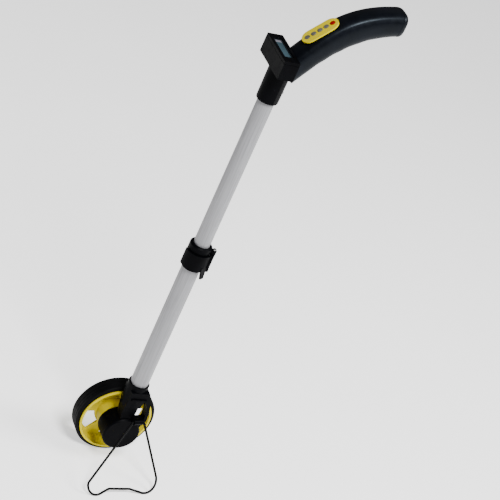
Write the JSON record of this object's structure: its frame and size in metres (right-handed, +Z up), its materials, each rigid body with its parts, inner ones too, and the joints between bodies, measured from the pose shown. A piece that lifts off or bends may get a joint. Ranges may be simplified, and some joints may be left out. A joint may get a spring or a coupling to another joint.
{
  "type": "measuring wheel",
  "caption": "Telescopic measuring wheel with a small rubber-tyred wheel on a one-sided bracket, a folding wire stand, a clamp lever, and a curved grip with display and buttons.",
  "frame": {"origin": "middle of the bounding box on the floor that the tyre and the two feet of the wire stand rest on", "axes": "+Z up; +X toward the person who pushes it, the way the grip points; -Y toward the side with the bracket and the stand"},
  "size_m": [0.1958, 0.1478, 0.8523],
  "materials": {
    "tyre": "matte black rubber tread",
    "yellow_plastic": "bright yellow injection-moulded plastic",
    "yellow_pad": "bright yellow moulded panel",
    "black_plastic": "black moulded plastic with a soft gloss",
    "black_wire": "black-coated steel wire",
    "aluminium_tube": "satin anodised aluminium",
    "zinc_steel": "zinc-plated steel",
    "white_bush": "natural acetal",
    "clear_window": "clear acrylic",
    "lcd_glass": "blue-grey liquid crystal panel",
    "circuit_board": "green circuit board",
    "magnet_ferrite": "dark bonded ferrite",
    "battery_sleeve": "blue battery sleeve",
    "grey_rubber": "grey button rubber",
    "red_rubber": "red button rubber"
  },
  "bodies": {
    "pole": {"bracket": "black_plastic", "sensor_cover": "black_plastic", "sensor_board": "circuit_board", "sensor_chip": "black_plastic", "axle": "zinc_steel", "axle_washer": "zinc_steel", "axle_nut": "zinc_steel", "bracket_bolt": "zinc_steel", "lower_tube": "aluminium_tube", "clamp_collar": "black_plastic", "lever_pin": "zinc_steel"},
    "wheel": {"tyre": "tyre", "wheel": "yellow_plastic", "wheel_bearing_near": "zinc_steel", "wheel_bearing_far": "zinc_steel", "encoder_ring": "magnet_ferrite", "hub_cap": "black_plastic"},
    "stand": {"wire_stand": "black_wire"},
    "lever": {"clamp_lever": "black_plastic"},
    "handle": {"upper_tube": "aluminium_tube", "guide_bush": "white_bush", "head_housing": "black_plastic", "sleeve_screw": "zinc_steel", "display_bezel": "black_plastic", "display_window": "clear_window", "lcd_panel": "lcd_glass", "main_board": "circuit_board", "grip_shell_near": "black_plastic", "grip_shell_far": "black_plastic", "grip_end_cap": "black_plastic", "grip_screw_1": "zinc_steel", "grip_screw_2": "zinc_steel", "grip_screw_3": "zinc_steel", "battery_1": "battery_sleeve", "battery_2": "battery_sleeve", "button_pad": "yellow_pad", "button_board": "circuit_board"},
    "button_1": {"button_1": "grey_rubber"},
    "button_2": {"button_2": "grey_rubber"},
    "button_3": {"button_3": "grey_rubber"},
    "button_4": {"button_4": "grey_rubber"},
    "power_button": {"power_button": "red_rubber"}
  },
  "joints": [
    {"name": "wheel_spin", "type": "hinge", "parent": "pole", "child": "wheel", "pos_m": [-0.03423, 0.05157, 0.06392], "axis": [0.0006, -0.9996, -0.0297], "continuous": true},
    {"name": "stand_fold", "type": "hinge", "parent": "pole", "child": "stand", "pos_m": [-0.01937, -0.00365, 0.09461], "axis": [-0.9874, -0.1564, -0.0253], "range_deg": [0, 130]},
    {"name": "clamp_lever", "type": "hinge", "parent": "pole", "child": "lever", "pos_m": [-0.01473, 0.00972, 0.06308], "axis": [-0.0209, -0.0297, 0.9993], "range_deg": [0, 110]},
    {"name": "tube_slide", "type": "slide", "parent": "pole", "child": "handle", "axis": [0.0209, 0.0297, -0.9993], "range_m": [0, 0.21]},
    {"name": "button_1_press", "type": "slide", "parent": "handle", "child": "button_1", "axis": [0.7396, 0.0204, -0.6727], "range_m": [0, 0.001], "stiffness_N_per_m": 300},
    {"name": "button_2_press", "type": "slide", "parent": "handle", "child": "button_2", "axis": [0.7396, 0.0204, -0.6727], "range_m": [0, 0.001], "stiffness_N_per_m": 300},
    {"name": "button_3_press", "type": "slide", "parent": "handle", "child": "button_3", "axis": [0.7396, 0.0204, -0.6727], "range_m": [0, 0.001], "stiffness_N_per_m": 300},
    {"name": "button_4_press", "type": "slide", "parent": "handle", "child": "button_4", "axis": [0.7396, 0.0204, -0.6727], "range_m": [0, 0.001], "stiffness_N_per_m": 300},
    {"name": "power_button_press", "type": "slide", "parent": "handle", "child": "power_button", "axis": [0.7396, 0.0204, -0.6727], "range_m": [0, 0.001], "stiffness_N_per_m": 300}
  ]
}
